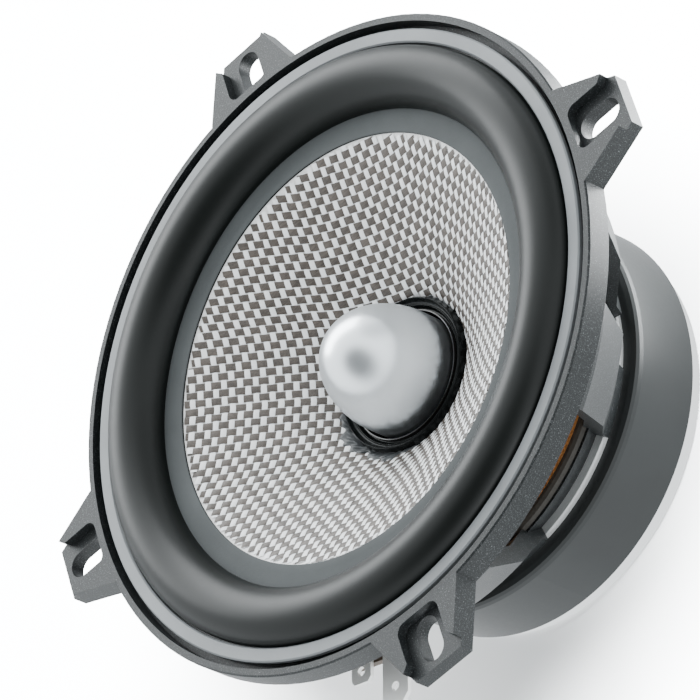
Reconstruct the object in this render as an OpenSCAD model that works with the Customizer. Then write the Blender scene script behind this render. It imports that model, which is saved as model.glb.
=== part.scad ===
/* [Flange] */
// Outer radius of the round flange
flange_r = 65; // [62:0.5:68]
// Height of the rim lip above the rear mounting face
rim_h = 5.2; // [4.6:0.1:6]
// Width of the rim lip
lip_w = 1.5; // [1:0.1:2]
// Height of the seat that carries the surround
seat_h = 3; // [2.6:0.1:3.2]
// Inner radius of the seat
seat_r = 57.5; // [56.5:0.1:57.8]
/* [Mounting ears] */
// Distance between opposite slot centres
slot_span = 140.4; // [138:0.2:142]
// Overall length of a slot
slot_len = 9.4; // [8:0.1:10]
// Width of a slot
slot_w = 5.3; // [4.5:0.1:5.6]
// Thickness of an ear
ear_t = 3.1; // [2.6:0.1:3.6]
// Width of the pocket round an ear slot
pocket_w = 10.3; // [9.6:0.1:10.6]
/* [Basket] */
// Thickness of the basket wall
wall_t = 2.2; // [1.8:0.1:2.6]
// Half angle of a spoke behind an ear
ear_spoke = 10; // [8:0.5:11]
// Angle where a middle spoke starts, from the ear before it
mid_spoke_from = 43; // [41:0.5:46]
// Angle where a middle spoke ends
mid_spoke_to = 63; // [60:0.5:65]
// Height of the collar behind the flange
collar_h = 2.5; // [2:0.1:3.5]
/* [Cone] */
// Radius at the neck of the cone
neck_r = 15.5; // [15.2:0.1:16]
// Radius where the woven skin meets the surround
skin_r = 42.4; // [41.5:0.1:43]
// Curvature of the cone, 1 for a straight one
cone_p = 0.85; // [0.7:0.01:1]
// Thickness of the cone's body
cone_t = 1.3; // [1:0.1:1.6]
// Thickness of the woven skin
skin_t = 0.35; // [0.25:0.05:0.5]
/* [Surround] */
// Inner radius of the roll
roll_in = 46.6; // [46.2:0.1:47.2]
// Outer radius of the roll
roll_out = 59; // [58.5:0.1:59.1]
// Height of the roll above its feet
roll_h = 5.4; // [3.5:0.1:6.2]
// Thickness of the rubber
rubber_t = 0.7; // [0.5:0.05:0.9]
/* [Motor] */
// Outer radius of the top plate
plate_r = 37.6; // [37:0.1:38]
// Thickness of the top plate
plate_t = 5; // [4:0.1:5.5]
// Outer radius of the ring magnet
magnet_r = 39.3; // [38.8:0.1:39.3]
// Outer radius of the magnet's rubber boot
boot_r = 41.2; // [40.8:0.1:42]
// Thickness of the back plate
back_t = 4.4; // [4:0.1:6]
// Outer radius of the back plate
back_r = 39.7; // [39:0.1:40.5]
/* [Voice coil and plug] */
// Inner radius of the voice coil former
former_r = 12.75; // [12.7:0.05:12.8]
// Radius of the pole
pole_r = 12.3; // [12:0.05:12.35]
// Radius of the phase plug
plug_r = 12.2; // [11.8:0.1:12.3]
// Length of the plug's rounded nose
nose_len = 16.7; // [14:0.1:18]
/* [Terminals] */
// Angle of the terminal board round the axis
term_angle = -19; // [-20:0.5:-18]
// Width of the wide tab
wide_w = 6.3; // [5.6:0.1:6.3]
// Width of the narrow tab
narrow_w = 4.8; // [3:0.1:4.8]
/* [Hidden] */
$fn = 128;
e = 0.01;
// levels along the axis, from the mounting face
z_front = rim_h;
z_neck = -16.05;
z_edge = 1.4;
z_floor = -33.8;
z_ring = -27.3;
z_floor_top = z_floor + 1.6;
z_plate = z_floor - plate_t;
z_back = -50.4;
z_base = z_back - back_t;
z_pole = -34.3;
z_nose = -12.9;
groove_in = 62.16;
slot_c = slot_span / 2;
slot_e = (slot_len - slot_w) / 2;
// z of the cone's front surface at radius r
function cone_z(r) = z_neck + (z_edge - z_neck) * pow(max(0, (r - neck_r) / (skin_r - neck_r)), cone_p);
// radii of the stations along the cone, closer together near the neck
function station(i, n) = neck_r + (skin_r - neck_r) * pow(i / n, 1.4);

// ---- basket ----
// the ear's front is level with the rim, and a pocket round the slot takes the screw head
module ear_blank() {
    linear_extrude(rim_h)
        polygon([[58, -11.2], [64, -11.2], [76.2, -5.8], [76.2, 5.8], [64, 11.2], [58, 11.2]]);
}
module ear() {
    h = rim_h - ear_t + 1;
    difference() {
        ear_blank();
        for (s = [-1, 1])
            translate([slot_c + s * slot_e, 0, -1])
                cylinder(h = ear_t + 2, d = slot_w, $fn = 48);
        translate([slot_c - slot_e, -slot_w / 2, -1])
            cube([2 * slot_e, slot_w, ear_t + 2]);
        translate([67.1, -pocket_w / 2, ear_t])
            cube([12, pocket_w, h]);
        translate([65.1, 2 - pocket_w / 2, ear_t])
            cube([3, pocket_w - 4, h]);
        for (s = [-1, 1]) {
            translate([67.1, s * (pocket_w / 2 - 2), ear_t])
                cylinder(h = h, r = 2, $fn = 48);
            // the pocket opens out at the ear's end
            translate([73.2, s * pocket_w / 2, ear_t])
                rotate([0, 0, 45 * s])
                    translate([0, s > 0 ? -5 : 0, 0])
                        cube([5, 5, h]);
        }
    }
}
module wedge(a0, a1, z0, z1, r = 80) {
    translate([0, 0, z0])
        linear_extrude(z1 - z0)
            polygon([[0, 0], [r * cos(a0), r * sin(a0)],
                [r * 1.2 * cos((a0 + a1) / 2), r * 1.2 * sin((a0 + a1) / 2)],
                [r * cos(a1), r * sin(a1)]]);
}
// flange, wall, spider ledge and floor as one turned shape, before the windows are cut
module turned_body() {
    w = wall_t;
    rotate_extrude()
        polygon([[seat_r, seat_h], [seat_r, -collar_h], [56.7 - w, -6.2], [49.4 - w, -18.6], [39.3, -26.2],
            [39.3, z_ring], [33.5, z_ring], [33.5, z_floor_top], [22, z_floor_top], [22, z_floor],
            [38.8, z_floor], [40, -31], [43.2, -27.8], [51, -20], [58.4, -7], [59.5, -collar_h], [59.5, 0],
            [flange_r, 0], [flange_r, rim_h - 0.3], [flange_r - 0.3, rim_h], [flange_r - lip_w, rim_h],
            [flange_r - lip_w, 2.2], [groove_in, 2.2], [groove_in, seat_h]]);
}
// a window between two spokes, which leaves the lower ring standing
module window(a0, a1) {
    k = (39.75 - 35.4) / (z_ring - z_floor);
    difference() {
        wedge(a0, a1, z_floor - 1, -collar_h);
        translate([0, 0, z_floor - 2])
            cylinder(h = z_ring - z_floor + 1.8, r1 = 35.4 - 2 * k, r2 = 39.75 - 0.2 * k);
        translate([0, 0, z_ring - 1])
            cylinder(h = 30, r = 38.4);
    }
}
module basket() {
    color([0.36, 0.38, 0.39])
        difference() {
            union() {
                turned_body();
                for (k = [0:3])
                    difference() {
                        rotate([0, 0, 90 * k])
                            ear();
                        translate([0, 0, -1])
                            cylinder(h = 10, r = flange_r - 0.8);
                    }
            }
            for (k = [0:3]) {
                window(90 * k + ear_spoke, 90 * k + mid_spoke_from);
                if (k != 3)
                    window(90 * k + mid_spoke_to, 90 * k + 90 - ear_spoke);
            }
            // the last small window keeps a shelf for the terminal board
            difference() {
                window(270 + mid_spoke_to, 360 - ear_spoke);
                rotate([0, 0, term_angle])
                    translate([40, -20, -11.2])
                        cube([17, 40, 1.6]);
            }
            for (k = [0:3])
                rotate([0, 0, 45 + 90 * k])
                    translate([28, 0, z_floor - 1])
                        cylinder(h = 4, r = 1.6, $fn = 32);
            at_board()
                rivet_holes(-12.5);
        }
}

// ---- moving system ----
roll_n = 16;
function roll_pt(i, t) =
    let (a = 180 - 180 * i / roll_n, rc = (roll_in + roll_out) / 2, rr = (roll_out - roll_in) / 2 - t)
    let (zb = 1.9 + (3.7 - 1.9) * i / roll_n)
    [rc + rr * cos(a), zb - (t > 0 ? t : 0) * (1 - sin(a)) + (roll_h - (t > 0 ? t * 0.2 : 0)) * sin(a)
        - (t > 0 ? t * 0.8 : 0) * sin(a)];
module surround() {
    color([0.2, 0.21, 0.21])
        rotate_extrude()
            polygon(concat([[45.6, z_edge], [skin_r, z_edge], [skin_r, 1.7], [skin_r + 0.2, 1.9]], [for (i = [0:roll_n]) roll_pt(i, 0)],
                [[62.1, 3.7], [62.1, 3]], [for (i = [roll_n:-1:0]) roll_pt(i, rubber_t)], [[45.6, 1.2]]));
}
module gasket_ring() {
    color([0.33, 0.35, 0.36])
        rotate_extrude()
            polygon([[59.3, 3.7], [62.1, 3.7], [62.1, 4.6], [61.8, 4.85], [59.6, 4.85], [59.3, 4.6]]);
}
module cone_body() {
    n = 10;
    color([0.62, 0.5, 0.36])
        rotate_extrude()
            polygon(concat([for (i = [0:n]) let (r = station(i, n)) [r, cone_z(r) - skin_t]],
                [[45.2, z_edge - skin_t], [45.2, z_edge - skin_t - 0.8], [skin_r + 0.4, z_edge - skin_t - 1]],
                [for (i = [n:-1:0]) let (r = station(i, n)) [r, cone_z(r) - skin_t - cone_t * 1.2]]));
}
module cone_skin() {
    n = 10;
    color([0.86, 0.85, 0.83])
        rotate_extrude()
            polygon(concat([for (i = [0:n]) let (r = station(i, n)) [r, cone_z(r)]],
                [[44.8, z_edge], [44.8, z_edge - skin_t]],
                [for (i = [n:-1:0]) let (r = station(i, n)) [r, cone_z(r) - skin_t]]));
}
module neck_adhesive() {
    color([0.08, 0.08, 0.08])
        rotate_extrude()
            polygon([[former_r + 0.2, -19], [13.8, -19], [15.3, -17.9], [neck_r, -17.9], [neck_r, -16.05],
                [15.2, -15.4], [14.4, -15], [13.6, -15], [former_r + 0.2, -15.4]]);
}
module tube(r0, r1, z0, z1) {
    rotate_extrude()
        polygon([[r0, z0], [r1, z0], [r1, z1], [r0, z1]]);
}
module coil_former() {
    color([0.72, 0.42, 0.16])
        tube(former_r, former_r + 0.2, -41, -15);
}
module coil_winding() {
    color([0.7, 0.36, 0.18])
        tube(former_r + 0.2, former_r + 0.65, -40.3, -32.3);
}
spider_in = 13;
spider_rolls = 5;
spider_r0 = 15.2;
spider_r1 = 32.7;
spider_t = 0.5;
function spider_z(r) =
    r < spider_r0 || r > spider_r1 ? 0 : -1.25 * sin(360 * spider_rolls * (r - spider_r0) / (spider_r1 - spider_r0));
module spider() {
    n = 60;
    step = (spider_r1 - spider_r0) / n;
    zt = z_ring + spider_t;
    color([0.62, 0.38, 0.17])
        rotate_extrude()
            polygon(concat([[former_r + 0.25, zt]], [for (i = [0:n]) [spider_r0 + i * step, zt + spider_z(spider_r0 + i * step)]],
                [[37.4, zt], [37.4, zt - spider_t]],
                [for (i = [n:-1:0]) [spider_r0 + i * step, zt - spider_t + spider_z(spider_r0 + i * step)]],
                [[former_r + 0.25, zt - spider_t]]));
}
module spider_ring() {
    color([0.17, 0.16, 0.14])
        rotate_extrude()
            polygon([[37.4, z_ring], [39.2, z_ring], [39.1, z_ring + 1], [38.4, z_ring + 1.35], [37.4, z_ring + 1.1]]);
}
module spider_collar() {
    color([0.1, 0.1, 0.1])
        rotate_extrude()
            polygon([[former_r + 0.2, z_ring + spider_t], [14.5, z_ring + spider_t], [14.1, z_ring + spider_t + 0.5],
                [former_r + 0.2, z_ring + spider_t + 1.3]]);
}
// ---- motor ----
module top_plate() {
    color([0.86, 0.87, 0.87])
        difference() {
            rotate_extrude()
                polygon([[13.9, z_plate], [plate_r, z_plate], [plate_r, z_floor - 0.3], [plate_r - 0.3, z_floor],
                    [13.9, z_floor]]);
            for (k = [0:3])
                rotate([0, 0, 45 + 90 * k])
                    translate([28, 0, z_floor - 3])
                        cylinder(h = 4, r = 1.6, $fn = 32);
        }
}
module magnet() {
    color([0.2, 0.2, 0.2])
        tube(17, magnet_r, z_back, z_plate);
}
module magnet_boot() {
    color([0.25, 0.26, 0.27])
        rotate_extrude()
            polygon([[plate_r, z_floor - 1], [39.6, z_floor - 1], [40.6, z_floor - 1.25], [41, z_floor - 1.8],
                [boot_r, z_floor - 2.6], [boot_r, z_back], [magnet_r, z_back],
                [magnet_r, z_plate], [plate_r, z_plate]]);
}
module back_plate() {
    color([0.84, 0.85, 0.85])
        rotate_extrude()
            polygon([[8, z_base], [back_r - 0.8, z_base], [back_r, z_base + 0.8], [back_r, z_back], [8, z_back]]);
}
module pole_piece() {
    color([0.66, 0.67, 0.68])
        rotate_extrude()
            polygon([[2.6, z_pole], [2.6, -52.2], [5, -52.2], [5, z_base], [8, z_base], [8, z_back],
                [pole_r, z_back], [pole_r, z_pole]]);
}
module phase_plug() {
    n = 18;
    color([0.74, 0.75, 0.76])
        rotate_extrude()
            polygon(concat([[2.1, z_pole], [plug_r, z_pole]],
                [for (i = [0:n - 1]) let (a = 90 * i / n) [plug_r * cos(a), z_nose + nose_len * sin(a)]],
                [[0, z_nose + nose_len], [0, -24], [2.1, -24]]));
}
module plug_bolt() {
    color([0.7, 0.7, 0.68])
        difference() {
            union() {
                translate([0, 0, -52.2])
                    cylinder(h = 27.2, r = 2.1, $fn = 48);
                translate([0, 0, -54.2])
                    cylinder(h = 2, r = 4.2, $fn = 48);
            }
            translate([0, 0, -55])
                cylinder(h = 2.2, r = 1.7, $fn = 6);
        }
}
module basket_rivets() {
    color([0.75, 0.76, 0.76])
        for (k = [0:3])
            rotate([0, 0, 45 + 90 * k])
                translate([28, 0, z_floor - 3]) {
                    cylinder(h = 4.6, r = 1.6, $fn = 32);
                    translate([0, 0, 4.6])
                        cylinder(h = 0.5, r = 2.8, $fn = 32);
                }
}
// ---- terminals, in their own frame: X outward, Y across, Z along the axis ----
tab_y = [4.3, -4.3];
rivet_x = 54.8;
tab_z = -8.2;
module at_board() {
    rotate([0, 0, term_angle])
        children();
}
module rivet_holes(z) {
    for (y = tab_y)
        translate([rivet_x, y, z])
            cylinder(h = 6, r = 1.1, $fn = 32);
}
module terminal_board() {
    color([0.17, 0.15, 0.13])
        at_board()
            difference() {
                translate([52.2, -6.8, -9.6])
                    cube([8.2, 14.4, 1.4]);
                rivet_holes(-12);
            }
}
module tab(w, y, tip, hole_x, cut) {
    at_board()
        difference() {
            translate([0, y, tab_z])
                linear_extrude(0.8)
                    polygon([[52.2, -w / 2], [tip - cut, -w / 2], [tip, -w / 2 + cut * 0.8],
                        [tip, w / 2 - cut * 0.8], [tip - cut, w / 2], [52.2, w / 2]]);
            translate([hole_x, y, tab_z - 1])
                cylinder(h = 3, r = 0.9, $fn = 32);
            rivet_holes(tab_z - 3);
        }
}
module tab_wide() {
    color([0.87, 0.87, 0.85])
        tab(wide_w, tab_y[0], 70.4, 67, 1.6);
}
module tab_narrow() {
    color([0.87, 0.87, 0.85])
        tab(narrow_w, tab_y[1], 64, 61.6, 0.9);
}
module terminal_rivets() {
    color([0.8, 0.79, 0.74])
        at_board()
            for (y = tab_y)
                translate([rivet_x, y, -11.7]) {
                    cylinder(h = 0.5, r = 1.9, $fn = 32);
                    cylinder(h = 4.7, r = 1.1, $fn = 32);
                    translate([0, 0, 4.3])
                        cylinder(h = 0.5, r = 1.8, $fn = 32);
                }
}
// ---- flexible leads: a tube swept along a smooth path ----
function bez(p, t) = pow(1 - t, 3) * p[0] + 3 * pow(1 - t, 2) * t * p[1] + 3 * (1 - t) * t * t * p[2] + pow(t, 3) * p[3];
function unit(v) = v / norm(v);
module lead(p) {
    n = 24;
    m = 8;
    r = 0.6;
    pts = [for (i = [0:n]) let (c = bez(p, i / n), d = unit(bez(p, min(1, i / n + 0.02)) - bez(p, max(0, i / n - 0.02))),
        u = unit(cross(d, [0, 1, 0])), v = cross(d, u))
        for (j = [0:m - 1]) c + r * (cos(360 * j / m) * u + sin(360 * j / m) * v)];
    at_board()
        polyhedron(points = pts,
            faces = concat([[for (j = [m - 1:-1:0]) j]],
                [for (i = [0:n - 1]) for (j = [0:m - 1])
                    [i * m + j, i * m + (j + 1) % m, (i + 1) * m + (j + 1) % m, (i + 1) * m + j]],
                [[for (j = [0:m - 1]) n * m + j]]));
}
module lead_a() {
    color([0.72, 0.55, 0.34])
        lead([[52.2, 4.3, -7.8], [36, 4.3, -7.8], [32, 5, -20.9], [13.71, 5, -20.9]]);
}
module lead_b() {
    color([0.72, 0.55, 0.34])
        lead([[52.2, -4.3, -7.8], [36, -4.3, -7.8], [32, -5, -20.9], [13.71, -5, -20.9]]);
}
module lead_pads() {
    color([0.6, 0.6, 0.58])
        at_board()
            for (y = [-5, 5])
                difference() {
                    translate([11.2, y - 1.1, -21.8])
                        cube([2.5, 2.2, 1.8]);
                    translate([0, 0, -30])
                        cylinder(h = 20, r = former_r + 0.2);
                }
}

basket();
surround();
gasket_ring();
cone_body();
cone_skin();
neck_adhesive();
coil_former();
coil_winding();
spider();
spider_ring();
spider_collar();
top_plate();
magnet();
magnet_boot();
back_plate();
pole_piece();
phase_plug();
plug_bolt();
basket_rivets();
terminal_board();
tab_wide();
tab_narrow();
terminal_rivets();
lead_a();
lead_b();
lead_pads();
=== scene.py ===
import math
import bpy
import numpy as np
from mathutils import Matrix, Vector


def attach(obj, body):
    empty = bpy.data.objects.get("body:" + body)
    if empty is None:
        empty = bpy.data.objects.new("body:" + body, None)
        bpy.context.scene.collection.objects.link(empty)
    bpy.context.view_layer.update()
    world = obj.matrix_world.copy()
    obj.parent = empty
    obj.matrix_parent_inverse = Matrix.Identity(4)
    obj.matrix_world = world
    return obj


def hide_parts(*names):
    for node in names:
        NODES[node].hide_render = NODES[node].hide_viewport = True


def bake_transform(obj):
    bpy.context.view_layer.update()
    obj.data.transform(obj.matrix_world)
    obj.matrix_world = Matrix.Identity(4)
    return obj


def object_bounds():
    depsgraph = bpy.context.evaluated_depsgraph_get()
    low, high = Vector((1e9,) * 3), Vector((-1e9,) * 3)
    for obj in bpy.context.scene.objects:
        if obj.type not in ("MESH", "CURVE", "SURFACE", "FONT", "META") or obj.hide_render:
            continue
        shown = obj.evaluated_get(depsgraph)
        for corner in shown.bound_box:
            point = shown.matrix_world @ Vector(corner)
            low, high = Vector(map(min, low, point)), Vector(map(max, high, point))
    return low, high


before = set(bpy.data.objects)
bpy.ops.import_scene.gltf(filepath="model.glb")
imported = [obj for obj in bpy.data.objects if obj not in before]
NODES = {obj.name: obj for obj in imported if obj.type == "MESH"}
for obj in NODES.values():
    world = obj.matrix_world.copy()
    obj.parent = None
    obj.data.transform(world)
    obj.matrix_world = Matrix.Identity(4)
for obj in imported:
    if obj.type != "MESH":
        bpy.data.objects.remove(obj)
CAD_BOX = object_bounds()
MM = 0.001
rng = np.random.default_rng(7)

# ------------------------------------------------------------------ camera, floor and lights
POS = Vector((0.6829, 0.4944, 0.7181))
FWD = Vector((-0.6165, -0.4463, -0.6486)).normalized()
UP = Vector((-0.7503, 0.5827, 0.3123))
RIGHT = FWD.cross(UP).normalized()
UP = RIGHT.cross(FWD).normalized()
cam_data = bpy.data.cameras.new("camera")
cam_data.lens = 305.2
cam_data.sensor_width = 36
cam_data.clip_end = 20
cam = bpy.data.objects.new("camera", cam_data)
cam.matrix_world = Matrix.Translation(POS) @ Matrix((RIGHT, UP, -FWD)).transposed().to_4x4()
bpy.context.scene.collection.objects.link(cam)
bpy.context.scene.camera = cam


def new_mat(name):
    m = bpy.data.materials.new(name)
    m.use_nodes = True
    return m, m.node_tree.nodes, m.node_tree.links, m.node_tree.nodes["Principled BSDF"]


world = bpy.data.worlds.new("studio")
world.use_nodes = True
wn, wl = world.node_tree.nodes, world.node_tree.links
wc = wn.new("ShaderNodeTexCoord")


def dark_patch(before, direction, c0, c1, level):
    """A darker part of the room round a direction, with a soft edge."""
    d = wn.new("ShaderNodeVectorMath")
    d.operation = "DOT_PRODUCT"
    d.inputs[1].default_value = Vector(direction).normalized()
    wl.new(wc.outputs["Generated"], d.inputs[0])
    r = wn.new("ShaderNodeMapRange")
    r.interpolation_type = "SMOOTHSTEP"
    r.inputs["From Min"].default_value = c0
    r.inputs["From Max"].default_value = c1
    r.inputs["To Min"].default_value = 1.0
    r.inputs["To Max"].default_value = level
    wl.new(d.outputs["Value"], r.inputs["Value"])
    if before is None:
        return r.outputs["Result"]
    m = wn.new("ShaderNodeMath")
    m.operation = "MULTIPLY"
    wl.new(before, m.inputs[0])
    wl.new(r.outputs["Result"], m.inputs[1])
    return m.outputs[0]


ROOM_LIGHT = 2.3
dark = dark_patch(None, (0.5, 0.0, 0.86), 0.74, 0.94, 0.12)
dark = dark_patch(dark, (-0.45, 0.7, 0.5), 0.9, 0.985, 0.55)
wm = wn.new("ShaderNodeMath")
wm.operation = "MULTIPLY"
wm.inputs[1].default_value = ROOM_LIGHT
wl.new(dark, wm.inputs[0])
wn["Background"].inputs[0].default_value = (0.93, 0.975, 1, 1)
wl.new(wm.outputs[0], wn["Background"].inputs[1])
bpy.context.scene.world = world


# ------------------------------------------------------------------ lamps
LAMP_COLOUR = (0.95, 0.985, 1)


def area(name, place, target, size, power, size_y):
    d = bpy.data.lights.new(name, "AREA")
    d.energy = power
    d.color = LAMP_COLOUR
    d.size = size
    d.shape = "RECTANGLE"
    d.size_y = size_y
    o = bpy.data.objects.new(name, d)
    o.location = place
    o.rotation_euler = (Vector(target) - Vector(place)).to_track_quat("-Z", "Y").to_euler()
    bpy.context.scene.collection.objects.link(o)
    return o


left, toward = -RIGHT, -FWD


def sky(az, el, dist):
    az, el = math.radians(az), math.radians(el)
    return Vector((math.cos(el) * math.cos(az), math.cos(el) * math.sin(az), math.sin(el))) * dist


area("softbox", sky(-160, 27, 1.0), (0, 0, 0), 1.2, 17, 0.5)
area("kick", sky(22, 3, 0.5), (0.02, 0, -0.025), 0.34, 0.5, 0.06)
low = area("low_panel", (-0.03, 0.09, -0.0535), (-0.03, 0.09, 1), 0.09, 0.5, 0.05)
low.visible_camera = False

Z_FLOOR = CAD_BOX[0][2]
FLOOR_HALF = 3


def mesh_obj(name, verts, faces, mat=None, smooth=True, body=None):
    me = bpy.data.meshes.new(name)
    me.from_pydata([tuple(v) for v in verts], [], faces)
    me.update()
    if smooth:
        me.shade_smooth()
    o = bpy.data.objects.new(name, me)
    bpy.context.scene.collection.objects.link(o)
    if mat:
        me.materials.append(mat)
    if body:
        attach(o, body)
    return o


corners = [(x * FLOOR_HALF, y * FLOOR_HALF, Z_FLOOR) for x, y in ((-1, -1), (1, -1), (1, 1), (-1, 1))]
floor = mesh_obj("floor", corners, [(0, 1, 2, 3)])
fm, fn, fl, fb = new_mat("floor_pale")
fb.inputs["Base Color"].default_value = (0.93, 0.93, 0.93, 1)
fb.inputs["Roughness"].default_value = 0.9
fb.inputs["Specular IOR Level"].default_value = 0.1
floor.data.materials.append(fm)
# the floor has its own overhead panel, so that it is white without lighting the speaker from below
floor.visible_diffuse = False
floor.visible_glossy = False
only_floor = bpy.data.collections.new("only_floor")
only_floor.objects.link(floor)
panel_place = UP * 0.5 + toward * 0.4 + left * -0.35 + Vector((0, 0, 1.5))
panel = area("floor_panel", panel_place, (0, 0, 0), 1.3, 700, 1.3)
panel.light_linking.receiver_collection = only_floor


# ------------------------------------------------------------------ materials
def tex_noise(n, l, scale, detail=3, rough=0.5, vec=None):
    t = n.new("ShaderNodeTexNoise")
    t.inputs["Scale"].default_value = scale
    t.inputs["Detail"].default_value = detail
    t.inputs["Roughness"].default_value = rough
    if vec is not None:
        l.new(vec, t.inputs["Vector"])
    return t.outputs["Fac"]


def coords(n, l, scale=(1, 1, 1), rot=(0, 0, 0)):
    c = n.new("ShaderNodeTexCoord")
    mp = n.new("ShaderNodeMapping")
    mp.inputs["Scale"].default_value = scale
    mp.inputs["Rotation"].default_value = rot
    l.new(c.outputs["Object"], mp.inputs["Vector"])
    return mp.outputs["Vector"]


def ramp(n, l, fac, stops):
    r = n.new("ShaderNodeValToRGB")
    r.color_ramp.elements[0].position = stops[0][0]
    r.color_ramp.elements[0].color = (*stops[0][1], 1)
    r.color_ramp.elements[1].position = stops[-1][0]
    r.color_ramp.elements[1].color = (*stops[-1][1], 1)
    for p, c in stops[1:-1]:
        e = r.color_ramp.elements.new(p)
        e.color = (*c, 1)
    l.new(fac, r.inputs["Fac"])
    return r.outputs["Color"]


def bump(n, l, height, strength, distance, b):
    bp = n.new("ShaderNodeBump")
    bp.inputs["Strength"].default_value = strength
    bp.inputs["Distance"].default_value = distance
    l.new(height, bp.inputs["Height"])
    l.new(bp.outputs["Normal"], b.inputs["Normal"])


def rough_range(n, l, fac, lo, hi, b):
    r = n.new("ShaderNodeMapRange")
    r.inputs["To Min"].default_value = lo
    r.inputs["To Max"].default_value = hi
    l.new(fac, r.inputs["Value"])
    l.new(r.outputs["Result"], b.inputs["Roughness"])


def paint():
    """Dark texture paint: fine pimples, with painted highlights on their crowns: the colour turns pale where
    the bump is highest.
    """
    m, n, l, b = new_mat("paint_textured_painted_glints")
    v = coords(n, l)
    f = tex_noise(n, l, 4200, 2, 0.6, v)
    f2 = tex_noise(n, l, 60, 3, 0.5, v)
    # the two top stops are painted highlight: pale colour on the pimple crowns stands for light catching them;
    # the lower stops are the paint's own dark colour
    col = ramp(n, l, f, [(0.3, (0.004, 0.005, 0.005)), (0.55, (0.0115, 0.0135, 0.014)),
                         (0.66, (0.042, 0.046, 0.048)), (0.78, (0.19, 0.2, 0.205))])
    l.new(col, b.inputs["Base Color"])
    rough_range(n, l, f2, 0.4, 0.5, b)
    b.inputs["Specular IOR Level"].default_value = 0.3
    bump(n, l, f, 0.35, 0.00008, b)
    return m


def rubber(name, base, lo, hi, grain=900, strength=0.12, spec=0.3):
    m, n, l, b = new_mat(name)
    v = coords(n, l)
    f = tex_noise(n, l, grain, 4, 0.6, v)
    f2 = tex_noise(n, l, 45, 4, 0.6, v)
    col = ramp(n, l, f2, [(0.3, tuple(c * 0.86 for c in base)), (0.7, tuple(c * 1.12 for c in base))])
    l.new(col, b.inputs["Base Color"])
    rough_range(n, l, f, lo, hi, b)
    b.inputs["Specular IOR Level"].default_value = spec
    bump(n, l, f, strength, 0.0001, b)
    return m


def metal(name, base, lo, hi, turned=True, metallic=1.0, strength=0.08):
    m, n, l, b = new_mat(name)
    c = n.new("ShaderNodeTexCoord")
    if turned:
        sx = n.new("ShaderNodeSeparateXYZ")
        l.new(c.outputs["Object"], sx.inputs[0])
        p = n.new("ShaderNodeMath"); p.operation = "MULTIPLY"
        l.new(sx.outputs[0], p.inputs[0]); l.new(sx.outputs[0], p.inputs[1])
        q = n.new("ShaderNodeMath"); q.operation = "MULTIPLY_ADD"
        l.new(sx.outputs[1], q.inputs[0]); l.new(sx.outputs[1], q.inputs[1]); l.new(p.outputs[0], q.inputs[2])
        s = n.new("ShaderNodeMath"); s.operation = "SQRT"
        l.new(q.outputs[0], s.inputs[0])
        cx = n.new("ShaderNodeCombineXYZ")
        l.new(s.outputs[0], cx.inputs[0]); l.new(sx.outputs[2], cx.inputs[1])
        f = tex_noise(n, l, 1800, 3, 0.6, cx.outputs[0])
    else:
        f = tex_noise(n, l, 700, 3, 0.6, c.outputs["Object"])
    f2 = tex_noise(n, l, 55, 4, 0.55, c.outputs["Object"])
    col = ramp(n, l, f2, [(0.25, tuple(x * 0.92 for x in base)), (0.75, base)])
    l.new(col, b.inputs["Base Color"])
    b.inputs["Metallic"].default_value = metallic
    rough_range(n, l, f, lo, hi, b)
    bump(n, l, f, strength, 0.00004, b)
    return m


def cloth(name, lo_col, hi_col, scale=1500, strength=0.5, rough=0.8):
    m, n, l, b = new_mat(name)
    v = coords(n, l)
    f = tex_noise(n, l, scale, 3, 0.6, v)
    f2 = tex_noise(n, l, 90, 4, 0.6, v)
    mx = n.new("ShaderNodeMath"); mx.operation = "MULTIPLY_ADD"
    l.new(f2, mx.inputs[0]); mx.inputs[1].default_value = 0.5
    mh = n.new("ShaderNodeMath"); mh.operation = "MULTIPLY"; mh.inputs[1].default_value = 0.5
    l.new(f, mh.inputs[0]); l.new(mh.outputs[0], mx.inputs[2])
    col = ramp(n, l, mx.outputs[0], [(0.32, lo_col), (0.68, hi_col)])
    l.new(col, b.inputs["Base Color"])
    b.inputs["Roughness"].default_value = rough
    bump(n, l, f, strength, 0.00015, b)
    return m


def woven_spider(name):
    """Coarse plain-woven cloth: two crossed sine waves give the threads."""
    m, n, l, b = new_mat(name)
    c = n.new("ShaderNodeTexCoord")
    outs = []
    for rot in (0.3, 0.3 + math.pi / 2):
        mp = n.new("ShaderNodeMapping")
        mp.inputs["Rotation"].default_value = (0, 0, rot)
        l.new(c.outputs["Object"], mp.inputs["Vector"])
        w = n.new("ShaderNodeTexWave")
        w.inputs["Scale"].default_value = 420
        w.inputs["Distortion"].default_value = 0.6
        l.new(mp.outputs["Vector"], w.inputs["Vector"])
        outs.append(w.outputs["Fac"])
    mx = n.new("ShaderNodeMath"); mx.operation = "MULTIPLY"
    l.new(outs[0], mx.inputs[0]); l.new(outs[1], mx.inputs[1])
    f2 = tex_noise(n, l, 70, 4, 0.6, c.outputs["Object"])
    ad = n.new("ShaderNodeMath"); ad.operation = "MULTIPLY_ADD"
    l.new(mx.outputs[0], ad.inputs[0]); ad.inputs[1].default_value = 0.45; l.new(f2, ad.inputs[2])
    col = ramp(n, l, ad.outputs[0], [(0.3, (0.24, 0.1, 0.028)), (0.55, (0.5, 0.23, 0.07)),
                                     (0.95, (0.68, 0.36, 0.13))])
    l.new(col, b.inputs["Base Color"])
    b.inputs["Roughness"].default_value = 0.62
    bump(n, l, mx.outputs[0], 0.6, 0.0002, b)
    return m


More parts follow.
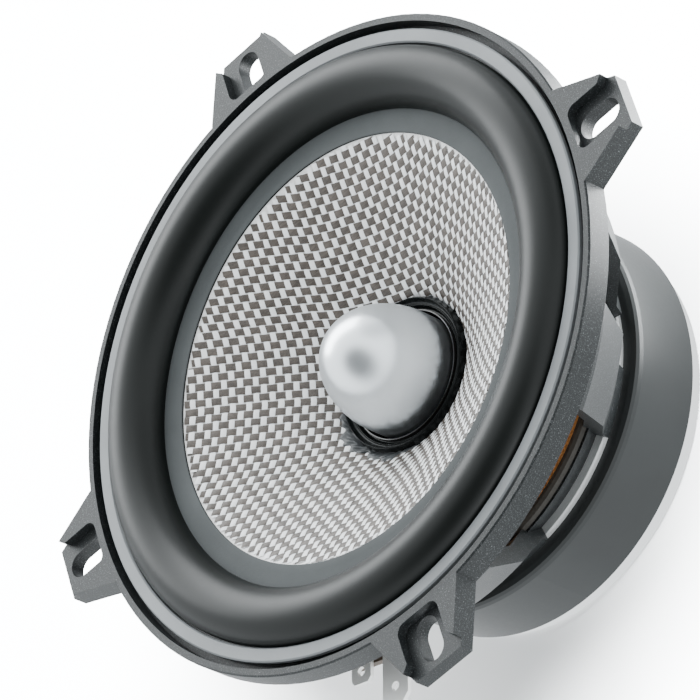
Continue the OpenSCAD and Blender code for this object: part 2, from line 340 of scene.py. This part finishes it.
def thread_mat(name, lo_col, hi_col, angle, rough):
    """Glass threads: fine streaks that run along the thread."""
    m, n, l, b = new_mat(name)
    v = coords(n, l, (1, 0.06, 1), (0, 0, -angle))
    f = tex_noise(n, l, 5200, 3, 0.65, v)
    v2 = coords(n, l)
    f2 = tex_noise(n, l, 300, 3, 0.6, v2)
    ad = n.new("ShaderNodeMath"); ad.operation = "MULTIPLY_ADD"
    l.new(f2, ad.inputs[0]); ad.inputs[1].default_value = 0.4
    mh = n.new("ShaderNodeMath"); mh.operation = "MULTIPLY"; mh.inputs[1].default_value = 0.6
    l.new(f, mh.inputs[0]); l.new(mh.outputs[0], ad.inputs[2])
    col = ramp(n, l, ad.outputs[0], [(0.3, lo_col), (0.65, hi_col)])
    l.new(col, b.inputs["Base Color"])
    b.inputs["Roughness"].default_value = rough
    bump(n, l, f, 0.4, 0.00008, b)
    return m


def tinsel(name):
    m, n, l, b = new_mat(name)
    c = n.new("ShaderNodeTexCoord")
    w = n.new("ShaderNodeTexWave")
    w.inputs["Scale"].default_value = 900
    w.inputs["Distortion"].default_value = 1.5
    w.bands_direction = "DIAGONAL"
    l.new(c.outputs["Object"], w.inputs["Vector"])
    col = ramp(n, l, w.outputs["Fac"], [(0.2, (0.22, 0.11, 0.045)), (0.8, (0.62, 0.38, 0.18))])
    l.new(col, b.inputs["Base Color"])
    b.inputs["Metallic"].default_value = 0.7
    rough_range(n, l, w.outputs["Fac"], 0.55, 0.32, b)
    bump(n, l, w.outputs["Fac"], 0.8, 0.00015, b)
    return m


M = {
    "paint": paint(),
    "rubber": rubber("rubber_surround", (0.0022, 0.0033, 0.0028), 0.34, 0.41, 700, 0.05, 0.24),
    "gasket": rubber("rubber_gasket", (0.19, 0.2, 0.206), 0.36, 0.46, 900, 0.06),
    "land": rubber("felt_land", (0.075, 0.081, 0.082), 0.6, 0.75, 1300, 0.4, 0.12),
    "boot": rubber("rubber_boot", (0.02, 0.022, 0.022), 0.36, 0.44, 1100, 0.08),
    "cone_back": cloth("cone_core", (0.2, 0.12, 0.06), (0.36, 0.24, 0.13), 900, 0.5),
    "skin": cloth("glass_backing", (0.74, 0.73, 0.71), (0.93, 0.92, 0.91), 2500, 0.3, 0.6),
    "glue": rubber("glue_black", (0.004, 0.005, 0.005), 0.2, 0.34, 160, 0.2, 0.12),
    "film": metal("film_dark", (0.012, 0.011, 0.01), 0.2, 0.34, True, 0.0),
    "copper": metal("wire_copper", (0.55, 0.2, 0.08), 0.3, 0.45, True, 0.8, 0.6),
    "spider": woven_spider("spider_cloth"),
    "fibre": cloth("fibre_ring", (0.018, 0.016, 0.013), (0.04, 0.036, 0.03), 1200, 0.6, 0.85),
    "zinc": metal("zinc_plate", (0.8, 0.805, 0.8), 0.36, 0.5, True, 0.55),
    "ferrite": rubber("ferrite_grey", (0.05, 0.05, 0.052), 0.5, 0.7, 1500, 0.4),
    "steel": metal("steel_turned", (0.5, 0.5, 0.51), 0.25, 0.4),
    "alu": metal("alu_satin", (0.9, 0.94, 0.965), 0.29, 0.33, False, 1.0, 0.015),
    "board": cloth("phenolic_board", (0.05, 0.035, 0.024), (0.1, 0.07, 0.045), 800, 0.3, 0.55),
    "tin": metal("tin_tab", (0.93, 0.925, 0.9), 0.26, 0.38, False, 0.4),
    "lead": tinsel("tinsel_braid"),
    "solder": metal("solder_joint", (0.6, 0.6, 0.6), 0.2, 0.4, False, 1.0, 0.4),
}
for node, key in {
    "basket": "paint", "surround": "rubber", "gasket_ring": "gasket", "cone_body": "cone_back",
    "cone_skin": "skin", "neck_adhesive": "glue", "coil_former": "film", "coil_winding": "copper",
    "spider": "spider", "spider_ring": "fibre", "spider_collar": "glue", "top_plate": "zinc",
    "magnet": "ferrite", "magnet_boot": "boot", "back_plate": "zinc", "pole_piece": "steel",
    "phase_plug": "alu", "plug_bolt": "steel", "basket_rivets": "zinc", "terminal_board": "board",
    "tab_wide": "tin", "tab_narrow": "tin", "terminal_rivets": "zinc", "lead_a": "lead", "lead_b": "lead",
    "lead_pads": "solder",
}.items():
    me = NODES[node].data
    me.materials.clear()
    me.materials.append(M[key])

# ------------------------------------------------------------------ the cone's shape, as in the CAD
NECK, SKIN, Z_NECK, Z_EDGE, P = 15.5, 42.4, -16.05, 1.4, 0.85


def cone_z(r):
    t = np.clip((np.asarray(r, float) - NECK) / (SKIN - NECK), 0, None)
    return Z_NECK + (Z_EDGE - Z_NECK) * np.power(t, P)


# ------------------------------------------------------------------ woven threads
# directions of the two sets of threads, their pitches in mm, and the net's half size in threads
U_AX, V_AX = math.radians(70.6), math.radians(160.6)
PU, PV = 1.575, 1.70
NET = 40
WARP_HALF, WEFT_HALF = 0.56, 0.735  # half widths of a thread
BED, WAVE = 0.17, 0.075             # a thread's mean height over the skin, and how far it weaves up and down
STEPS_PER_CROSSING = 4
REACH = 60.0
WEAVE_IN, WEAVE_OUT = 15.2, 42.38   # radii between which the threads show


def on_cone(x, y):
    return float(cone_z(math.hypot(x, y)))


def crossing(a, b, start):
    """The point on the cone PU from crossing a and PV from crossing b."""
    x, y = start
    e = 1e-4
    za, zb = on_cone(*a), on_cone(*b)

    def miss(x, y):
        z = on_cone(x, y)
        return (math.sqrt((x - a[0])**2 + (y - a[1])**2 + (z - za)**2) - PU,
                math.sqrt((x - b[0])**2 + (y - b[1])**2 + (z - zb)**2) - PV)

    for _ in range(8):
        f, g = miss(x, y)
        fx, gx = miss(x + e, y)
        fy, gy = miss(x, y + e)
        fx, gx, fy, gy = (fx - f) / e, (gx - g) / e, (fy - f) / e, (gy - g) / e
        det = fx * gy - fy * gx
        if abs(det) < 1e-3:
            break
        dx, dy = (fy * g - gy * f) / det, (gx * f - fx * g) / det
        k = min(1.0, 0.5 / max(math.hypot(dx, dy), 1e-9))
        x, y = x + dx * k, y + dy * k
    return x, y


def lay_net():
    """Cloth is a net of threads that don't stretch and can shear. Two threads run straight out from the middle,
    and every other crossing follows from its two neighbours."""
    net = np.zeros((2 * NET + 1, 2 * NET + 1, 2))
    rad = np.linspace(0, 75, 1501)
    arc = np.concatenate([[0], np.cumsum(np.hypot(np.diff(rad), np.diff(cone_z(rad))))])
    for i in range(1, NET + 1):
        for s in (-1, 1):
            ru, rv = np.interp(i * PU, arc, rad), np.interp(i * PV, arc, rad)
            net[NET + s * i, NET] = s * ru * math.cos(U_AX), s * ru * math.sin(U_AX)
            net[NET, NET + s * i] = s * rv * math.cos(V_AX), s * rv * math.sin(V_AX)
    for su in (-1, 1):
        for sv in (-1, 1):
            for i in range(1, NET + 1):
                for j in range(1, NET + 1):
                    a, b = net[NET + su * (i - 1), NET + sv * j], net[NET + su * i, NET + sv * (j - 1)]
                    c = net[NET + su * (i - 1), NET + sv * (j - 1)]
                    net[NET + su * i, NET + sv * j] = crossing(a, b, a + b - c)
    return net


net = lay_net()


def fabric_to_cone(u, v, h):
    """Cloth coordinates in mm to a point h mm above the cone's front."""
    p, q = np.clip(u / PU + NET, 0, 2 * NET - 1e-6), np.clip(v / PV + NET, 0, 2 * NET - 1e-6)
    i, j = p.astype(int), q.astype(int)
    p, q = (p - i)[..., None], (q - j)[..., None]
    near = net[i, j] * (1 - p) + net[i + 1, j] * p
    far = net[i, j + 1] * (1 - p) + net[i + 1, j + 1] * p
    xy = near * (1 - q) + far * q
    x, y = xy[..., 0], xy[..., 1]
    r = np.hypot(x, y)
    dr = 0.05
    slope = (cone_z(r + dr) - cone_z(r - dr)) / (2 * dr)
    nz = 1 / np.sqrt(1 + slope**2)
    nr = -slope * nz
    rr = np.maximum(r, 1e-6)
    return np.stack([x + x / rr * nr * h, y + y / rr * nr * h, cone_z(r) + nz * h], -1), r


def threads(name, warp, mat):
    pitch, cross = (PU, PV) if warp else (PV, PU)
    half = WARP_HALF if warp else WEFT_HALF
    per = STEPS_PER_CROSSING
    across = np.array([-1, -0.62, 0, 0.62, 1.0])
    crown = np.array([-0.055, -0.01, 0.01, -0.01, -0.055])
    verts, faces = [], []
    base = 0
    count = int(REACH / pitch)
    steps = int(REACH / cross) * per
    s = np.arange(-steps, steps + 1) * cross / per
    for i in range(-count, count + 1):
        phase = math.cos(math.pi * i) * (1 if warp else -1)
        wave = np.cos(math.pi * s / cross) * phase
        h = BED + WAVE * np.sign(wave) * np.power(np.abs(wave), 0.6)
        wob = 1 + 0.07 * rng.standard_normal(len(s))
        wob = np.convolve(wob, np.ones(5) / 5, "same")
        off = 0.03 * rng.standard_normal()
        a = (i * pitch + off) + across[None, :] * half * np.clip(wob, 0.8, 1.15)[:, None]
        hh = h[:, None] + crown[None, :]
        ss = np.repeat(s[:, None], 5, 1)
        pt, r = fabric_to_cone(a, ss, hh) if warp else fabric_to_cone(ss, a, hh)
        ok = (r.min(1) > WEAVE_IN) & (r.max(1) < WEAVE_OUT)
        idx = -np.ones(len(s), int)
        idx[ok] = base + np.arange(ok.sum()) * 5
        verts.append(pt[ok].reshape(-1, 3))
        base += ok.sum() * 5
        for k in range(len(s) - 1):
            if ok[k] and ok[k + 1]:
                p, q = int(idx[k]), int(idx[k + 1])
                for c in range(4):
                    face = (p + c, p + c + 1, q + c + 1, q + c)
                    faces.append((face[1], face[0], face[3], face[2]) if warp else face)
    o = mesh_obj(name, np.concatenate(verts) * MM, faces, mat, True, "cone")
    return o


white = thread_mat("glass_white", (0.84, 0.85, 0.85), (0.98, 0.985, 0.99), V_AX - math.pi / 2, 0.42)
threads("warp_threads", True, white)
brown = thread_mat("glass_brown", (0.024, 0.019, 0.015), (0.115, 0.094, 0.079), U_AX - math.pi / 2, 0.5)
threads("weft_threads", False, brown)


# ------------------------------------------------------------------ turned pieces
def lathe(name, profile, mat, body, n, bend=None):
    """Turns a closed profile of (r, z) in mm round the axis; bend may shift each point."""
    pr = np.array(profile, float)
    k = len(pr)
    a = np.arange(n) * 2 * math.pi / n
    r = np.repeat(pr[None, :, 0], n, 0)
    z = np.repeat(pr[None, :, 1], n, 0)
    ang = np.repeat(a[:, None], k, 1)
    if bend:
        r, z = bend(r, z, ang)
    v = np.stack([r * np.cos(ang), r * np.sin(ang), z], -1).reshape(-1, 3) * MM
    faces = []
    for i in range(n):
        j = (i + 1) % n
        for c in range(k):
            d = (c + 1) % k
            faces.append((i * k + c, j * k + c, j * k + d, i * k + d))
    return mesh_obj(name, v, faces, mat, True, body)


def sharp(o, deg=32):
    o.data.update()
    o.data.set_sharp_from_angle(angle=math.radians(deg))


def stretch(o, weight):
    """Bakes the piece's placement into its mesh and works out a weight from each point's radius; the weight is
    not kept, so the piece does not follow the cone.
    """
    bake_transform(o)
    co = np.empty(len(o.data.vertices) * 3, np.float32)
    o.data.vertices.foreach_get("co", co)
    co = co.reshape(-1, 3) * 1000
    r = np.hypot(co[:, 0], co[:, 1])
    weight(r).astype(np.float32)


def smooth01(t):
    t = np.clip(t, 0, 1)
    return t * t * (3 - 2 * t)


# surround: flat land, half roll, outer flange
ROLL_IN, ROLL_OUT, ROLL_H, T = 47.1, 59.0, 5.4, 0.7
LAND_END, LAND_LOW = 47.09, 0.00175  # the land is what lies inside this radius and above this height
top, under = [], []
NR = 40
for i in range(NR + 1):
    a = math.pi - math.pi * i / NR
    rc, rr = (ROLL_IN + ROLL_OUT) / 2, (ROLL_OUT - ROLL_IN) / 2
    zb = 1.9 + 1.8 * i / NR
    top.append((rc + rr * math.cos(a), zb + ROLL_H * math.sin(a)))
    under.append((rc + (rr - T) * math.cos(a), zb - T + (ROLL_H - 0.04) * math.sin(a)))
land = [(45.6, Z_EDGE), (42.42, Z_EDGE), (42.4, 1.6), (42.42, 1.75), (42.5, 1.86), (42.66, 1.9),
        (44, 1.9), (45.6, 1.9), (46.2, 1.92)]
flange = [(59.4, 3.7), (62.05, 3.7), (62.1, 3.6), (62.1, 3.0), (60, 3.0)]
prof = land + top + flange + under[::-1] + [(45.8, 1.2)]
sur = lathe("surround_rubber", prof, M["rubber"], None, 320)
sharp(sur, 40)
sur.data.materials.append(M["land"])
for p in sur.data.polygons:
    c = p.center
    rr = math.hypot(c.x, c.y) * 1000
    if rr < LAND_END and c.z > LAND_LOW:
        p.material_index = 1
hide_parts("surround")
stretch(sur, lambda r: 1 - smooth01((r - 46.4) / (59.2 - 46.4)))

# spider: corrugated cloth
SP0, SP1, ST, ZR = 15.2, 32.7, 0.5, -27.3


def sp_z(r):
    return 0 if r < SP0 or r > SP1 else -1.25 * math.sin(2 * math.pi * 5 * (r - SP0) / (SP1 - SP0))


rs = [13.0] + [SP0 + (SP1 - SP0) * i / 100 for i in range(101)] + [35, 37.4]
prof = [(r, ZR + ST + sp_z(r)) for r in rs] + [(r, ZR + sp_z(r)) for r in rs[::-1]]
spi = lathe("spider_cloth_piece", prof[::-1], M["spider"], None, 224)
sharp(spi, 50)
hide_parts("spider")
stretch(spi, lambda r: 1 - smooth01((r - 14.5) / (36.5 - 14.5)))


# adhesive at the neck: a glossy bead with two thin ridges, and a smear out on the weave on one side
def lumps(r, z, ang):
    n = (np.sin(3 * ang + 0.7) * 0.3 + np.sin(7 * ang + 2.1) * 0.25 + np.sin(17 * ang + 1.3) * 0.2
         + np.sin(31 * ang) * 0.12)
    k = np.clip((r - 14.5) / 1.4, 0, 1)
    return r + k * 0.28 * n, z + k * 0.12 * n


prof = [(12.96, -19), (13.8, -19), (15.2, -17.95), (15.46, -17.6), (15.5, -16.4), (15.6, -15.75),
        (15.45, -15.1), (15.2, -14.45), (15.02, -14.05), (14.94, -14.0), (14.86, -14.1), (14.7, -14.6),
        (14.5, -14.95), (14.2, -15.2), (14.0, -15.2), (13.9, -14.98), (13.82, -14.95), (13.74, -15.05),
        (13.55, -15.6), (13.3, -15.9), (13.1, -15.9), (12.96, -15.8)]
glue = lathe("neck_bead", prof[::-1], M["glue"], "cone", 300, lumps)
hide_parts("neck_adhesive")


def smear(name, mid, spread, out, mat, seed, thick):
    """An uneven patch of adhesive lying on the weave beside the bead."""
    r0, na, nr = 14.9, 90, 14
    g1 = np.random.default_rng(seed)
    ph = g1.uniform(0, 6.28, 6)
    verts = []
    for i in range(na):
        a = math.radians(mid + spread * (2 * i / (na - 1) - 1))
        edge = max(0.0, 1 - (2 * i / (na - 1) - 1) ** 2)
        ragged = 0.16 * math.sin(9 * a + ph[0]) + 0.12 * math.sin(23 * a + ph[1])
        ragged += 0.1 * math.sin(47 * a + ph[2])
        reach = 0.35 + out * edge**0.6 * (0.72 + ragged)
        for j in range(nr):
            t = j / (nr - 1)
            r = r0 + reach * t
            lump = math.sin(2.3 * r + 11 * a + ph[3]) * math.sin(31 * a + 1.7 * r + ph[4])
            lump += 0.6 * math.sin(5.1 * r + 53 * a + ph[5])
            h = thick * (1 - t**3) * (0.62 + 0.34 * lump * edge) + 0.28 * (1 - t**6) - 0.1 * t**6
            z = float(cone_z(max(r, NECK))) + h
            verts.append((r * math.cos(a), r * math.sin(a), z))
    faces = [((i + 1) * nr + j, (i + 1) * nr + j + 1, i * nr + j + 1, i * nr + j)
             for i in range(na - 1) for j in range(nr - 1)]
    o = mesh_obj(name, np.array(verts) * MM, faces, mat, True, "cone")
    return o


M["glue_grey"] = rubber("glue_grey", (0.035, 0.038, 0.04), 0.25, 0.5, 420, 0.7, 0.5)
smear("smear_low", -62, 58, 3.3, M["glue_grey"], 3, 0.75)
smear("smear_top", 128, 34, 0.9, M["glue_grey"], 5, 0.45)


# phase plug: straight sides and a half-ellipse nose, turned from one bar
PLUG_R, NOSE_Z, NOSE_H = 12.2, -12.9, 16.7
prof = [(2.2, -34.3)] + [(PLUG_R, z) for z in (-34.3, -30, -24, -18, -14.5)]
prof += [(PLUG_R * math.cos(t), NOSE_Z + NOSE_H * math.sin(t)) for t in np.linspace(0, math.pi / 2, 72)[:-1]]
prof += [(0.02, 3.8), (0.02, -20), (2.2, -20)]
plug = lathe("plug_nose", prof, M["alu"], "frame", 192)
sharp(plug, 40)
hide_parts("phase_plug")


# leads: braided tinsel, held at the board and at the cone
def lead(name, side, node):
    p = [Vector((52.2, 4.3 * side, -7.8)), Vector((36, 4.3 * side, -7.8)),
         Vector((32, 5 * side, -20.9)), Vector((13.71, 5 * side, -20.9))]
    turn = Matrix.Rotation(math.radians(-19), 3, "Z")
    n, k = 240, 16
    pts = []
    for i in range(n + 1):
        t = i / n
        bent = (1 - t) ** 3 * p[0] + 3 * (1 - t) ** 2 * t * p[1] + 3 * (1 - t) * t * t * p[2] + t**3 * p[3]
        pts.append(turn @ bent)
    verts, faces = [], []
    sideways = turn @ Vector((0, 1, 0))
    for i, q in enumerate(pts):
        d = (pts[min(i + 1, n)] - pts[max(i - 1, 0)]).normalized()
        u = (sideways - d * sideways.dot(d)).normalized()
        w = d.cross(u)
        s = i * 44.0 / n
        for j in range(k):
            a = 2 * math.pi * j / k
            braid = abs(math.sin(4 * a + 2.6 * s)) * 0.5 + abs(math.sin(4 * a - 2.6 * s)) * 0.5
            r = 0.5 + 0.13 * braid
            verts.append(q + u * (r * math.cos(a)) + w * (r * math.sin(a)))
    for i in range(n):
        for j in range(k):
            faces.append((i * k + j, i * k + (j + 1) % k, (i + 1) * k + (j + 1) % k, (i + 1) * k + j))
    faces.append(tuple(range(k))[::-1])
    faces.append(tuple(n * k + j for j in range(k)))
    o = mesh_obj(name, np.array([tuple(v) for v in verts]) * MM, faces, M["lead"])
    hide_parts(node)
    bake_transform(o)


lead("lead_braid_a", 1, "lead_a")
lead("lead_braid_b", -1, "lead_b")
